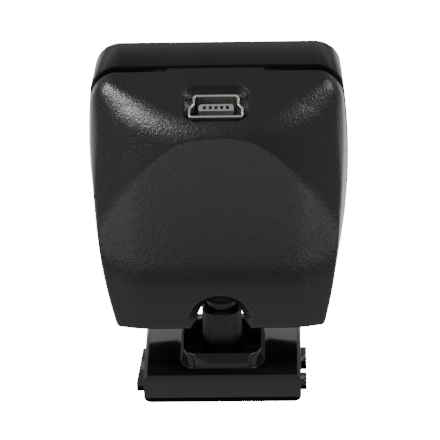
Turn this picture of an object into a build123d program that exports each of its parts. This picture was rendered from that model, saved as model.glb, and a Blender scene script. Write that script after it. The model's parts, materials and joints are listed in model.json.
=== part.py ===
"""A small dash camera: a two-shell head on a ball-jointed stalk and a slide-in foot.

Millimetres.  +X is right seen from behind, +Y is the way the lens looks, +Z is up.
The origin is the centre of the foot's underside.
"""
from build123d import *
import math
import os

os.makedirs("parts", exist_ok=True)

# ---- foot
FOOT_WIDTH = 23.0
FOOT_DEPTH = 15.6
FOOT_HEIGHT = 4.4
FOOT_BEVEL = 0.55
FOOT_LOWER_ROUND = 1.05
FOOT_WALL = 1.4
BOSS_WIDTH = 12.4
BOSS_DEPTH = 11.3
BOSS_HEIGHT = 2.4
BOSS_CORNER = 2.3
BOSS_DRAFT = 12.0
LUG_LOW = 0.8
LUG_HIGH = 2.3
LUG_REACH = 0.8
LUG_NEAR = -6.0
LUG_FAR = 2.7
LUG_SPLIT = (-3.8, -0.94)
LUG_TAPER = 0.3
PLATE_THICK = 1.2
PLATE_GAP = 0.1
PILLAR_HALF = 3.4
STALK_SCREW_LENGTH = 6.0

# ---- stalk and ball joint
STALK_WIDTH = 5.8
STALK_CORNER = 2.2
STALK_FLANGE = 8.0
STALK_FLANGE_THICK = 1.5
STALK_BELOW_HEAD = 0.1
NECK_RADIUS = 2.2
PIN_RADIUS = 1.3
PIN_LENGTH = 5.2
BALL_RADIUS = 4.5
LINER_WALL = 0.9
SLIDING_GAP = 0.05
LINER_DOWN = BALL_RADIUS - 2.2
LINER_UP = BALL_RADIUS - 1.5
CUP_HALF_WIDTH = BALL_RADIUS + LINER_WALL + 1.6
CUP_BACK = BALL_RADIUS + 1.2
CUP_FRONT = BALL_RADIUS + 2.1
CUP_UP = BALL_RADIUS - 0.7
CLAMP_DOWN = BALL_RADIUS - 1.7
CLAMP_SPLIT = 0.1
CLAMP_OVER_FLOOR = 0.6
EAR_REACH = CUP_HALF_WIDTH + 4.6
EAR_DEPTH = 5.0
EAR_THICK = 1.5

# ---- head shells
HEAD_BOTTOM = 12.5
HEAD_HEIGHT = 36.0
HEAD_HALF_TOP = 17.5
HEAD_HALF_WIDEST = 18.6
HEAD_HALF_BOTTOM = 16.3
TOP_CORNER = 4.2
MIN_ROUND = 0.3
WIDEST_UP = 0.57
BOTTOM_CORNER = 1.0
SEAM_Y = 6.1
COVER_DEPTH = 8.1
COVER_DRAFT = 2.5
SIDE_DRAFT = 6.0
SHELF_SLOPE = 22.0
SHELF_LENGTH = 12.1
CREASE_UP = 9.8
CREASE_BACK = 8.4
CHIN_BACK = 7.45
PANEL_HALF = 11.7
PANEL_FACET = 8.0
CHIN_FACET = 13.8
FACET_ROUND = 10.0
CROWN_SLOPE = 60.0
CROWN_HALF = 24.0
CROWN_RISE = 41.0
WALL = 1.5
FRONT_WALL = 1.8
SEAM_GAP = 0.24
LIP_DEPTH = 1.6
LIP_THICK = 0.8
LIP_GAP = 0.1
FRONT_EDGE = 0.8

# ---- slot for the stalk
SLOT_WIDTH = 6.7
SLOT_FLARE = 1.25
SLOT_ARCH_UP = 1.2
SLOT_FRONT = 4.6

# ---- mini-USB socket, placed on the sloping shelf
PORT_FROM_SEAM = 7.2
PORT_WIDE = 7.75
PORT_NARROW = 6.5
PORT_HEIGHT = 4.0
PORT_SHELL = 0.3
PORT_DEPTH = 7.6
PORT_SUNK = 0.12
PORT_CLEAR = 0.12
RECESS_WIDTH = 9.4
RECESS_HEIGHT = 6.5
RECESS_CORNER = 2.0
RECESS_DEPTH = 0.6
RECESS_SHIFT = 0.45
TONGUE_WIDTH = 4.9
TONGUE_THICK = 1.2
TONGUE_BACK = 1.8
TONGUE_SHORT = 0.45
TONGUE_SHIFT = -0.05
CONTACTS = 5
CONTACT_PITCH = 0.8
CONTACT_WIDTH = 0.34
CONTACT_THICK = 0.2
CONTACT_POCKET = 0.55
CONTACT_SUNK = 0.35

# ---- lens
LENS_ON_BOARD = 7.0
WINDOW_RADIUS = 7.9
WINDOW_THICK = 0.8
SEAL_THICK = 0.2
SEAL_WIDTH = 1.3
RING_RADIUS = 9.4
RING_STANDS = 1.0
RING_BORE = 6.6
BARREL_RADIUS = 4.2
BARREL_HEAD = 5.5
BARREL_HEAD_LENGTH = 4.4
BARREL_FRONT_GAP = 0.3
HOLDER_SIZE = 11.4
HOLDER_BASE = 3.0
HOLDER_TUBE = 4.6
HOLDER_WALL = 1.2
THREAD_GAP = 0.05
BARREL_BORE = 2.2
FRONT_GLASS = 4.5
FRONT_GLASS_SEAT = 2.2
REAR_GLASS = 3.2
REAR_GLASS_SEAT = 1.6
SENSOR_HALF = 3.3
SENSOR_THICK = 0.8
FILTER_HALF = 3.5
FILTER_THICK = 0.3

# ---- boards
BOARD_BACK = -2.6
BOARD_THICK = 1.0
BOARD_WIDTH = 26.0
BOARD_BELOW_TOP = 10.8
BOARD_OVER_CUP = 0.8
PORT_BOARD_WIDTH = 13.0
PORT_BOARD_THICK = 0.8
PORT_BOARD_LENGTH = 8.0
PORT_BOARD_DEEP = 0.3
BOSS_RADIUS = 1.5
SCREW_RADIUS = 0.7
SCREW_HEAD = 1.4
SCREW_HEAD_THICK = 0.9
SCREW_GRIP = 2.0
FIT = 0.1

# ---- chips, placed from the middle of the image sensor
CHIP_SIZE = 8.6
CHIP_THICK = 1.1
CHIP_X = 4.3
CHIP_UP = 2.3
PAD_THICK = 0.5
SPREADER_SIZE = (9.4, 10.0)
SPREADER_THICK = 0.4
SPREADER_UP = 1.0
MEMORY_SIZE = (6.0, 8.0)
MEMORY_THICK = 1.0
MEMORY_X = 9.6
MEMORY_UP = 1.0
COIL_RADIUS = 1.7
COIL_THICK = 1.8
COIL_X = 11.0
COIL_UP = 0.5

# ---- controls on the front
BUTTON_BELOW_TOP = 5.9
BUTTON_RADIUS = 2.5
BUTTON_GAP = 0.1
BUTTON_PROUD = 0.3
BUTTON_TRAVEL = 0.35
BUTTON_FLANGE = 0.7
SWITCH_SIZE = 4.5
SWITCH_THICK = 1.6
PLUNGER_RADIUS = 1.0
FRONT_BOARD_WIDTH = 19.0
FRONT_BOARD_TALL = 6.8
FRONT_BOARD_THICK = 0.8
FRONT_BOARD_BACK = 3.5
PIPE_RADIUS = 0.8
PIPE_X = 5.2
MIC_X = -5.2
MIC_SIZE = (3.0, 2.6)
MIC_THICK = 1.1
LED_SIZE = (1.6, 0.8)
LED_THICK = 0.6
BUTTON_EDGE = 0.25

# ---- memory card
CARD_LENGTH = 15.0
CARD_WIDTH = 11.0
CARD_THICK = 0.9
CARD_BEHIND_BOARD = 0.35
CARD_GAP = 0.1
CARD_SUNK = 0.65
CARD_SLOT_GAP = 0.15
CARD_ON_BOARD = 5.6
CARD_CORNER = (4.5, 1.2)
READER_WALL = 0.5
READER_LENGTH = 11.4

# ---- speaker and cell
SPEAKER_RADIUS = 4.3
SPEAKER_THICK = 3.0
SPEAKER_X = 9.6
SPEAKER_UP = 6.4
SOUND_HOLE = 0.4
SOUND_RING = 2.0
CELL_SIZE = (8.6, 3.6, 7.2)
CELL_X = -9.4
CELL_UP = 6.0
CELL_ROUND = 1.2
TAPE_SIZE = (6.0, 4.0)
TAPE_THICK = 0.3

HEAD_TOP = HEAD_BOTTOM + HEAD_HEIGHT
FRONT_Y = SEAM_Y + COVER_DEPTH
INNER_FRONT = FRONT_Y - FRONT_WALL
BALL_Z = HEAD_BOTTOM + WALL + CLAMP_OVER_FLOOR + CLAMP_DOWN
CREASE_Z = HEAD_BOTTOM + CREASE_UP
SLOPE = math.radians(SHELF_SLOPE)
BROW_Y = SEAM_Y - SHELF_LENGTH * math.cos(SLOPE)
BROW_Z = HEAD_TOP - SHELF_LENGTH * math.sin(SLOPE)
BOARD_Z = BALL_Z + CUP_UP + BOARD_OVER_CUP
BOARD_TALL = HEAD_TOP - BOARD_BELOW_TOP - BOARD_Z
LENS_Z = BOARD_Z + LENS_ON_BOARD
CARD_Z = BOARD_Z + CARD_ON_BOARD
BOARD_FRONT = BOARD_BACK + BOARD_THICK
FAR = 60.0


# ---- small helpers
def box(x0, x1, y0, y1, z0, z1):
    """A block between two corners."""
    return Pos((x0 + x1) / 2, (y0 + y1) / 2, (z0 + z1) / 2) * Box(x1 - x0, y1 - y0, z1 - z0)


def along_y(radius, y0, y1, x=0.0, z=0.0):
    """A round bar along Y from y0 to y1."""
    return Pos(x, (y0 + y1) / 2, z) * Rot(90, 0, 0) * Cylinder(radius, y1 - y0)


def along_z(radius, z0, z1, x=0.0, y=0.0):
    """A round bar along Z from z0 to z1."""
    return Pos(x, y, (z0 + z1) / 2) * Cylinder(radius, z1 - z0)


def tube_y(outer, inner, y0, y1, x=0.0, z=0.0):
    """A round tube along Y."""
    return along_y(outer, y0, y1, x, z) - along_y(inner, y0 - 1, y1 + 1, x, z)


def screw_y(x, z, seat, length, way):
    """A pan-head screw along Y: its head is on the seat, its shank goes the way given, +1 or -1."""
    ends = sorted((seat, seat - way * SCREW_HEAD_THICK))
    shank = sorted((seat, seat + way * length))
    body = along_y(SCREW_HEAD, ends[0], ends[1], x, z) + along_y(SCREW_RADIUS, shank[0], shank[1], x, z)
    top = seat - way * SCREW_HEAD_THICK
    slot = sorted((top - 0.4, top + 0.4))
    cross = box(x - 0.8, x + 0.8, slot[0], slot[1], z - 0.15, z + 0.15)
    cross += box(x - 0.15, x + 0.15, slot[0], slot[1], z - 0.8, z + 0.8)
    return body - cross


def screw_z(x, y, seat, length, way):
    """A pan-head screw along Z: its head is on the seat, its shank goes the way given, +1 or -1."""
    ends = sorted((seat, seat - way * SCREW_HEAD_THICK))
    shank = sorted((seat, seat + way * length))
    body = along_z(SCREW_HEAD, ends[0], ends[1], x, y) + along_z(SCREW_RADIUS, shank[0], shank[1], x, y)
    top = seat - way * SCREW_HEAD_THICK
    slot = sorted((top - 0.4, top + 0.4))
    cross = box(x - 0.8, x + 0.8, y - 0.15, y + 0.15, slot[0], slot[1])
    cross += box(x - 0.15, x + 0.15, y - 0.8, y + 0.8, slot[0], slot[1])
    return body - cross


def group(solids):
    """Several separate solids kept apart in one node."""
    return Compound(children=list(solids))


def save(node, shape):
    """Write one sub-part."""
    export_step(shape, f"parts/{node}.step")


# ---- head shape: the sides, the side-view profile, the back panel, the chin and the crown,
# each carried through the head as a prism, and the head is what they all share
def side_outline(inset, drawn_in=0.0):
    """The head seen from behind: straight top and bottom joined by one bowed arc a side."""
    top, low = HEAD_TOP - inset - drawn_in, HEAD_BOTTOM + inset
    wide_z = HEAD_BOTTOM + WIDEST_UP * HEAD_HEIGHT
    shrink = inset + drawn_in
    half_top, half_low = HEAD_HALF_TOP - shrink, HEAD_HALF_BOTTOM - shrink
    half_wide = HEAD_HALF_WIDEST - shrink
    edges = [Line((-half_top, top), (half_top, top)),
             ThreePointArc((half_top, top), (half_wide, wide_z), (half_low, low)),
             Line((half_low, low), (-half_low, low)),
             ThreePointArc((-half_low, low), (-half_wide, wide_z), (-half_top, top))]
    face = make_face(edges)
    upper, lower = face.vertices().filter_by(lambda v: v.Y > wide_z), max(BOTTOM_CORNER - inset, MIN_ROUND)
    face = fillet(upper, max(TOP_CORNER - shrink, MIN_ROUND))
    return fillet(face.vertices().filter_by(lambda v: v.Y < low + 0.01), lower)


def side_prism(inset):
    """Widest at the seam, drawn in a little towards the front and more towards the back."""
    backward, forward = SEAM_Y + CREASE_BACK + 2, COVER_DEPTH + 2
    seam = Plane.XZ.offset(-SEAM_Y) * side_outline(inset)
    at_back = side_outline(inset, backward * math.tan(math.radians(SIDE_DRAFT)))
    at_front = side_outline(inset, forward * math.tan(math.radians(COVER_DRAFT)))
    back = Plane.XZ.offset(-SEAM_Y + backward) * at_back
    front = Plane.XZ.offset(-SEAM_Y - forward) * at_front
    return loft([seam, back], ruled=True) + loft([seam, front], ruled=True)


def profile_prism(inset, bottom=HEAD_BOTTOM):
    """Side view: front wall, flat top, sloping port shelf and flat bottom."""
    slope = math.tan(SLOPE)
    far_y = -FAR / 2
    points = [(FRONT_Y, bottom), (FRONT_Y, HEAD_TOP), (SEAM_Y, HEAD_TOP),
              (far_y, HEAD_TOP - (SEAM_Y - far_y) * slope), (far_y, bottom)]
    face = make_face(Polyline(*points, close=True))
    if inset:
        face = offset(face, -inset, kind=Kind.INTERSECTION)
    return extrude(Plane.YZ * face, amount=FAR, both=True)


def facet_prism(back_y, lean, turn, inset, low):
    """A flat back with a facet turned away on each side, carried up along its own lean."""
    reach = 2 * HEAD_HALF_WIDEST
    away = back_y + (reach - PANEL_HALF) * math.tan(math.radians(turn))
    points = [(-reach, FAR), (reach, FAR), (reach, away), (PANEL_HALF, back_y),
              (-PANEL_HALF, back_y), (-reach, away)]
    face = make_face(Polyline(*points, close=True))
    if inset:
        face = offset(face, -inset, kind=Kind.INTERSECTION)
    corners = face.vertices().filter_by(lambda v: abs(v.X) < reach / 2 + 3 and v.Y < 0)
    face = fillet(corners, FACET_ROUND)
    return extrude(Plane.XY.offset(low) * face, amount=2 * FAR, dir=(0, lean, 1))


def panel_prism(inset):
    """The leaning back panel, from the brow down to the crease and on below it."""
    lean = (BROW_Y + CREASE_BACK) / (BROW_Z - CREASE_Z)
    low = HEAD_BOTTOM - 10
    return facet_prism(-CREASE_BACK - lean * (CREASE_Z - low), lean, PANEL_FACET, inset, low)


def chin_prism(inset):
    """The chin, leaning the other way below the crease."""
    lean = (CHIN_BACK - CREASE_BACK) / (CREASE_Z - HEAD_BOTTOM)
    low = HEAD_BOTTOM - 10
    return facet_prism(-CHIN_BACK - lean * (HEAD_BOTTOM - low), lean, CHIN_FACET, inset, low)


def crown_prism(inset):
    """An elliptical arch that falls steeply backwards: it takes the brow's corners off."""
    fall = math.radians(CROWN_SLOPE)
    start_y = FRONT_Y + 2
    apex = BROW_Z - 0.25 + (start_y - BROW_Y) * math.tan(fall)
    half, rise = CROWN_HALF - inset, CROWN_RISE - inset / math.cos(fall)
    arch = Ellipse(half, rise) + Pos(0, -FAR) * Rectangle(2 * half, 2 * FAR)
    face = Plane.XZ.offset(-start_y) * (Pos(0, apex - CROWN_RISE) * arch)
    back = extrude(face, amount=FAR, dir=(0, -math.cos(fall), -math.sin(fall)))
    return back


def head_solid(inset):
    """The whole head, or the same shape with every surface moved in."""
    return (side_prism(inset) & profile_prism(inset) & panel_prism(inset)
            & chin_prism(inset) & crown_prism(inset))


# ---- the port frame: x along the head, y down the shelf, z out of the shelf
PORT_Y = SEAM_Y - PORT_FROM_SEAM * math.cos(SLOPE)
PORT_Z = HEAD_TOP - PORT_FROM_SEAM * math.sin(SLOPE)
PORT_PLANE = Plane(origin=(0, PORT_Y, PORT_Z), x_dir=(-1, 0, 0),
                   z_dir=(0, -math.sin(SLOPE), math.cos(SLOPE)))


def port_outline(grow):
    """Mini-B outline: narrow towards the front of the head, a slanted step, wide towards its back."""
    wide, narrow, half = PORT_WIDE / 2, PORT_NARROW / 2, PORT_HEIGHT / 2
    points = [(-narrow, half), (-narrow, 0.4), (-wide, -0.5), (-wide, -half),
              (wide, -half), (wide, -0.5), (narrow, 0.4), (narrow, half)]
    face = make_face(Polyline(*[(x, -y) for x, y in points], close=True))
    face = fillet(face.vertices().filter_by(lambda v: abs(v.Y) > half - 0.01), 0.5)
    return offset(face, grow) if grow else face


def port_prism(face, top, bottom):
    """Carry an outline in the port frame from one depth to another; depths are negative inwards."""
    return extrude(PORT_PLANE.offset(bottom) * face, amount=top - bottom)


def usb_shell():
    """Drawn steel shell, open at its mouth."""
    outer = port_prism(port_outline(0), -PORT_SUNK, -PORT_SUNK - PORT_DEPTH)
    return outer - port_prism(port_outline(-PORT_SHELL), FAR, -FAR)


def usb_tongue():
    """Moulded insert: a plug that fills the back of the shell, with the tongue and its five pockets."""
    end = -PORT_SUNK - PORT_DEPTH
    insert = port_prism(port_outline(-PORT_SHELL), end + TONGUE_BACK, end)
    bar = Rectangle(TONGUE_WIDTH, TONGUE_THICK)
    bar = chamfer(bar.vertices().filter_by(lambda v: v.Y < 0), 0.3)
    tongue = port_prism(Pos(0, TONGUE_SHIFT) * bar, -PORT_SUNK - TONGUE_SHORT, end + TONGUE_BACK)
    solid = insert + tongue
    for x in contact_places():
        groove = Pos(x, TONGUE_SHIFT) * Rectangle(CONTACT_WIDTH + 0.1, CONTACT_POCKET)
        solid -= port_prism(groove, FAR, end + TONGUE_BACK)
    return solid


def contact_places():
    """The contacts' places across the tongue."""
    return [(i - (CONTACTS - 1) / 2) * CONTACT_PITCH for i in range(CONTACTS)]


def usb_contacts():
    """One strip along the lower side of each pocket."""
    end = -PORT_SUNK - PORT_DEPTH
    strips = []
    for x in contact_places():
        floor = TONGUE_SHIFT + CONTACT_POCKET / 2
        strip = Pos(x, floor - CONTACT_THICK / 2) * Rectangle(CONTACT_WIDTH, CONTACT_THICK)
        strips.append(port_prism(strip, -PORT_SUNK - TONGUE_SHORT - CONTACT_SUNK, end + TONGUE_BACK))
    return group(strips)


def port_board():
    """Tilted board under the wide side of the socket."""
    top = -WALL - PORT_BOARD_DEEP
    edge = PORT_HEIGHT / 2
    face = Pos(0, edge + PORT_BOARD_THICK / 2) * Rectangle(PORT_BOARD_WIDTH, PORT_BOARD_THICK)
    return port_prism(face, top, top - PORT_BOARD_LENGTH)


def port_board_back(z):
    """The Y of the port board's rear face at a height."""
    step = PORT_HEIGHT / 2 + PORT_BOARD_THICK
    y0 = PORT_Y - step * math.cos(SLOPE)
    z0 = PORT_Z - step * math.sin(SLOPE)
    return y0 + (z0 - z) * math.tan(SLOPE)


# ---- shells
def board_screw_places():
    """Three corners of the main board; the card reader takes the fourth."""
    x = BOARD_WIDTH / 2 - BOSS_RADIUS
    low, high = BOARD_Z + BOSS_RADIUS, BOARD_Z + BOARD_TALL - BOSS_RADIUS
    return [(x, low), (x, high), (-x, high)]


def ear_places():
    """The ball clamp's two screws."""
    x = (CUP_HALF_WIDTH + EAR_REACH) / 2
    return [(-x, 0.0), (x, 0.0)]


def card_box(gap, x0, x1):
    """The space of the memory card, grown by a gap, between two places along X."""
    y1 = BOARD_BACK - CARD_BEHIND_BOARD
    half = CARD_WIDTH / 2 + gap
    return box(x0, x1, y1 - CARD_THICK - gap, y1 + gap, CARD_Z - half, CARD_Z + half)


def arch(half, centre):
    """A strip with a half-round end at a centre, open towards minus Y of its sketch."""
    return Pos(0, centre) * Circle(half) + Pos(0, centre - FAR / 2) * Rectangle(2 * half, FAR)


def slot_cutter():
    """The stalk slot: an arch through the back, run forward under the ball, with 45 degree flares."""
    half = SLOT_WIDTH / 2
    over = half + SLOT_FLARE + 1
    up, ahead = HEAD_BOTTOM + SLOT_ARCH_UP, SLOT_FRONT - half
    back = -CREASE_BACK - 1
    cutter = extrude(Plane.XZ * arch(half, up), amount=-back)
    under = extrude(Plane.XY.offset(HEAD_BOTTOM - 1) * arch(half, ahead), amount=WALL + 1.5)
    cutter += under & box(-FAR, FAR, back, FAR, -FAR, FAR)
    cutter += extrude(Plane.XZ.offset(CHIN_BACK + 1) * arch(over, up), amount=-(SLOT_FLARE + 1), taper=45)
    lower = Plane.XY.offset(HEAD_BOTTOM - 1) * arch(over, ahead)
    return cutter + extrude(lower, amount=SLOT_FLARE + 1, taper=45)


def rear_housing():
    """Rear shell with its port recess, stalk slot, card slot, screw bosses and port-board ribs."""
    cavity = head_solid(WALL)
    behind = box(-FAR, FAR, -FAR, SEAM_Y - SEAM_GAP / 2, -FAR, FAR)
    shell = (head_solid(0) - cavity) & behind
    room = head_solid(WALL / 2) & behind
    for x, z in board_screw_places():
        shell += along_y(BOSS_RADIUS, -FAR, BOARD_BACK, x, z) & room
    for x, y in ear_places():
        shell += along_z(BOSS_RADIUS, HEAD_BOTTOM, BALL_Z - CLAMP_SPLIT - EAR_THICK, x, y) & room
    for x in (-1, 1):
        inner, outer = sorted((x * (PORT_BOARD_WIDTH / 2 - 0.4), x * (PORT_BOARD_WIDTH / 2 - 1.4)))
        low, high = BROW_Z - 4.0, BROW_Z - 1.0
        web = make_face(Polyline((-FAR, low), (port_board_back(low), low), (port_board_back(high), high),
                                 (-FAR, high), close=True))
        rib = extrude(Plane.YZ.offset(inner) * web, amount=outer - inner)
        shell += rib & room
    recess = Pos(0, -RECESS_SHIFT) * RectangleRounded(RECESS_WIDTH, RECESS_HEIGHT, RECESS_CORNER)
    shell -= port_prism(recess, 3, -RECESS_DEPTH)
    shell -= port_prism(port_outline(PORT_CLEAR), 3, -6)
    shell -= slot_cutter()
    shell -= card_box(CARD_SLOT_GAP, -FAR, -BOARD_WIDTH / 2 + 1)
    for x, z in board_screw_places():
        shell -= along_y(SCREW_RADIUS, BOARD_BACK - SCREW_GRIP, BOARD_BACK + 1, x, z)
    for x, y in ear_places():
        top = BALL_Z - CLAMP_SPLIT - EAR_THICK
        shell -= along_z(SCREW_RADIUS, top - SCREW_GRIP, top + 1, x, y)
    return shell


def front_cover():
    """Front shell with its lip, lens opening, button hole and posts."""
    cavity = head_solid(WALL) & box(-FAR, FAR, -FAR, INNER_FRONT, -FAR, FAR)
    ahead = box(-FAR, FAR, SEAM_Y + SEAM_GAP / 2, FAR, -FAR, FAR)
    shell = head_solid(0) & ahead
    shell = fillet(shell.edges().filter_by(lambda e: e.bounding_box().min.Y > FRONT_Y - 0.01), FRONT_EDGE)
    shell -= cavity
    lip = head_solid(WALL + LIP_GAP) - head_solid(WALL + LIP_GAP + LIP_THICK)
    lip &= box(-FAR, FAR, SEAM_Y - LIP_DEPTH, SEAM_Y + 2.0, -FAR, FAR)
    ledge = (head_solid(WALL - 0.3) - head_solid(WALL + LIP_GAP + LIP_THICK))
    ledge &= box(-FAR, FAR, SEAM_Y + 0.8, SEAM_Y + 2.0, -FAR, FAR)
    half = CUP_HALF_WIDTH + 3 * FIT
    relief = box(-half, half, -FAR, CUP_FRONT + 3 * FIT, 0, HEAD_BOTTOM + 2 * WALL)
    shell += (lip + ledge) - relief
    button_z = HEAD_TOP - BUTTON_BELOW_TOP
    post_back = INNER_FRONT - FRONT_BOARD_BACK + FRONT_BOARD_THICK
    for x in front_post_places():
        shell += along_y(1.3, post_back, INNER_FRONT + 0.5, x, button_z)
        shell -= along_y(SCREW_RADIUS, post_back - 1, post_back + SCREW_GRIP, x, button_z)
    holder = tube_y(SPEAKER_RADIUS + 0.7, SPEAKER_RADIUS + FIT, INNER_FRONT - 2.0, INNER_FRONT + 0.5,
                    SPEAKER_X, HEAD_BOTTOM + SPEAKER_UP)
    shell += holder & head_solid(WALL / 2)
    shell -= along_y(RING_BORE - 0.2, 0, FAR, 0, LENS_Z)
    shell -= along_y(WINDOW_RADIUS + SLIDING_GAP, FRONT_Y - WINDOW_THICK - SEAL_THICK * 2, FAR, 0, LENS_Z)
    shell -= along_y(BUTTON_RADIUS + BUTTON_GAP, INNER_FRONT - 1, FAR, 0, button_z)
    shell -= along_y(PIPE_RADIUS, INNER_FRONT - 1, FAR, PIPE_X, button_z)
    shell -= along_y(0.5, INNER_FRONT - 1, FAR, MIC_X, button_z)
    for x, z in sound_holes():
        shell -= along_y(SOUND_HOLE, INNER_FRONT - 1, FAR, x, z)
    return shell


def front_post_places():
    """The two posts that carry the front board."""
    x = FRONT_BOARD_WIDTH / 2 - 1.3
    return [-x, x]


def sound_holes():
    """One hole and a ring of six in front of the speaker."""
    z = HEAD_BOTTOM + SPEAKER_UP
    ring = [(SPEAKER_X + SOUND_RING * math.cos(math.radians(60 * i)),
             z + SOUND_RING * math.sin(math.radians(60 * i))) for i in range(6)]
    return [(SPEAKER_X, z)] + ring


# ---- lens
def lens_ring():
    """Trim ring on the front, with a spigot that presses on the window."""
    y0 = FRONT_Y
    ring = tube_y(RING_RADIUS, RING_BORE, y0, y0 + RING_STANDS, 0, LENS_Z)
    outer = ring.edges().filter_by(GeomType.CIRCLE).filter_by(lambda e: e.bounding_box().min.Y > y0 + 0.5)
    ring = chamfer(outer, 0.35)
    return ring + tube_y(WINDOW_RADIUS, RING_BORE, y0 - SEAL_THICK, y0, 0, LENS_Z)


def lens_window():
    """Clear flat window."""
    y1 = FRONT_Y - SEAL_THICK
    return along_y(WINDOW_RADIUS, y1 - WINDOW_THICK, y1, 0, LENS_Z)


def lens_seal():
    """Flat gasket behind the window."""
    y1 = FRONT_Y - SEAL_THICK - WINDOW_THICK
    return tube_y(WINDOW_RADIUS, WINDOW_RADIUS - SEAL_WIDTH, y1 - SEAL_THICK, y1, 0, LENS_Z)


def barrel_places():
    """The barrel's front, the back of its wide head, and its rear end, along Y."""
    front = INNER_FRONT - BARREL_FRONT_GAP
    shoulder = front - BARREL_HEAD_LENGTH
    return front, shoulder, BOARD_FRONT + HOLDER_BASE + 0.4


def lens_barrel():
    """Threaded barrel with a wide head, bored in steps for its two glasses."""
    front, shoulder, rear = barrel_places()
    body = along_y(BARREL_RADIUS, rear, shoulder, 0, LENS_Z)
    body += along_y(BARREL_HEAD, shoulder, front, 0, LENS_Z)
    body -= along_y(BARREL_BORE, rear - 1, front + 1, 0, LENS_Z)
    body -= along_y(FRONT_GLASS, front - FRONT_GLASS_SEAT, front + 1, 0, LENS_Z)
    return body - along_y(REAR_GLASS, rear - 1, rear + REAR_GLASS_SEAT, 0, LENS_Z)


def glass(radius, y0, thick, sag):
    """A plano-convex glass whose dome faces +Y: a disc and a spherical cap."""
    ball_r = (radius ** 2 + sag ** 2) / (2 * sag)
    y1 = y0 + thick
    dome = Pos(0, y1 + sag - ball_r, LENS_Z) * Sphere(ball_r)
    return along_y(radius, y0, y1, 0, LENS_Z) + (dome & along_y(radius, y1 - 0.1, y1 + sag + 1, 0, LENS_Z))


def lens_holder():
    """Square base over the sensor with a threaded tube for the barrel."""
    y0 = BOARD_FRONT
    y1 = y0 + HOLDER_BASE
    half = HOLDER_SIZE / 2
    room = half - HOLDER_WALL
    body = box(-half, half, y0, y1, LENS_Z - half, LENS_Z + half)
    body -= box(-room, room, y0 - 1, y1 - 0.8, LENS_Z - room, LENS_Z + room)
    body += tube_y(half - 0.3, BARREL_RADIUS + THREAD_GAP, y1, y1 + HOLDER_TUBE, 0, LENS_Z)
    return body - along_y(2.8, y0 - 1, y1 + 1, 0, LENS_Z)


# ---- boards and what is on them
def main_board():
    """Main board with its three screw holes."""
    half = BOARD_WIDTH / 2
    board = box(-half, half, BOARD_BACK, BOARD_FRONT, BOARD_Z, BOARD_Z + BOARD_TALL)
    for x, z in board_screw_places():
        board -= along_y(SCREW_RADIUS + FIT, BOARD_BACK - 1, BOARD_FRONT + 1, x, z)
    return board


def side_lean(y):
    """How far the draft has drawn a side in at a place behind the seam."""
    return (SEAM_Y - y) * math.tan(math.radians(SIDE_DRAFT))


def card_socket():
    """Card reader on the back of the main board, open towards the side wall."""
    x0, x1 = -BOARD_WIDTH / 2, -BOARD_WIDTH / 2 + READER_LENGTH
    half = CARD_WIDTH / 2 + CARD_GAP + READER_WALL
    back = BOARD_BACK - CARD_BEHIND_BOARD - CARD_THICK - CARD_GAP - 0.3
    body = box(x0, x1, back, BOARD_BACK, CARD_Z - half, CARD_Z + half)
    return body - card_box(CARD_GAP, -FAR, card_outer() + CARD_LENGTH + CARD_GAP)


def card_outer():
    """The outer end of the card when it is home."""
    return -HEAD_HALF_WIDEST + side_lean(BOARD_BACK - CARD_BEHIND_BOARD) + CARD_SUNK


def memory_card():
    """Memory card with its keyed corner cut away."""
    x0 = card_outer()
    tip = x0 + CARD_LENGTH
    along, across = CARD_CORNER
    return card_box(0, x0, tip) - box(tip - along, tip + 1, -FAR, FAR, CARD_Z + CARD_WIDTH / 2 - across, FAR)


def front_board():
    """Small board behind the button, light and microphone."""
    z = HEAD_TOP - BUTTON_BELOW_TOP
    y1 = INNER_FRONT - FRONT_BOARD_BACK + FRONT_BOARD_THICK
    board = box(-FRONT_BOARD_WIDTH / 2, FRONT_BOARD_WIDTH / 2, y1 - FRONT_BOARD_THICK, y1,
                z - FRONT_BOARD_TALL / 2, z + FRONT_BOARD_TALL / 2)
    for x in front_post_places():
        board -= along_y(SCREW_RADIUS + FIT, y1 - 5, y1 + 1, x, z)
    return board


def flex_cable():
    """Folded flex from the back of the front board to the front of the main board."""
    z = HEAD_TOP - BUTTON_BELOW_TOP
    thick = 0.2
    y_front = INNER_FRONT - FRONT_BOARD_BACK
    low = BOARD_Z + BOARD_TALL - 0.9
    x0, x1 = 7.2, 9.8
    top = z - FRONT_BOARD_TALL / 2 + 1.4
    flex = box(x0, x1, y_front - thick, y_front, low, top)
    flex += box(x0, x1, BOARD_FRONT, y_front, low, low + thick)
    return flex + box(x0, x1, BOARD_FRONT, BOARD_FRONT + thick, low - 2.2, low + thick)


def board_connector():
    """Block between the main board and the tilted port board."""
    low, high = BOARD_Z + BOARD_TALL - 2.9, BOARD_Z + BOARD_TALL - 0.9
    face = make_face(Polyline((BOARD_FRONT, low), (port_board_back(low), low), (port_board_back(high), high),
                              (BOARD_FRONT, high), close=True))
    return extrude(Plane.YZ.offset(-5) * face, amount=10)


# ---- ball joint, stalk and foot
def stalk_section(size, corner):
    """The stalk's rounded square."""
    return RectangleRounded(size, size, corner)


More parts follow.
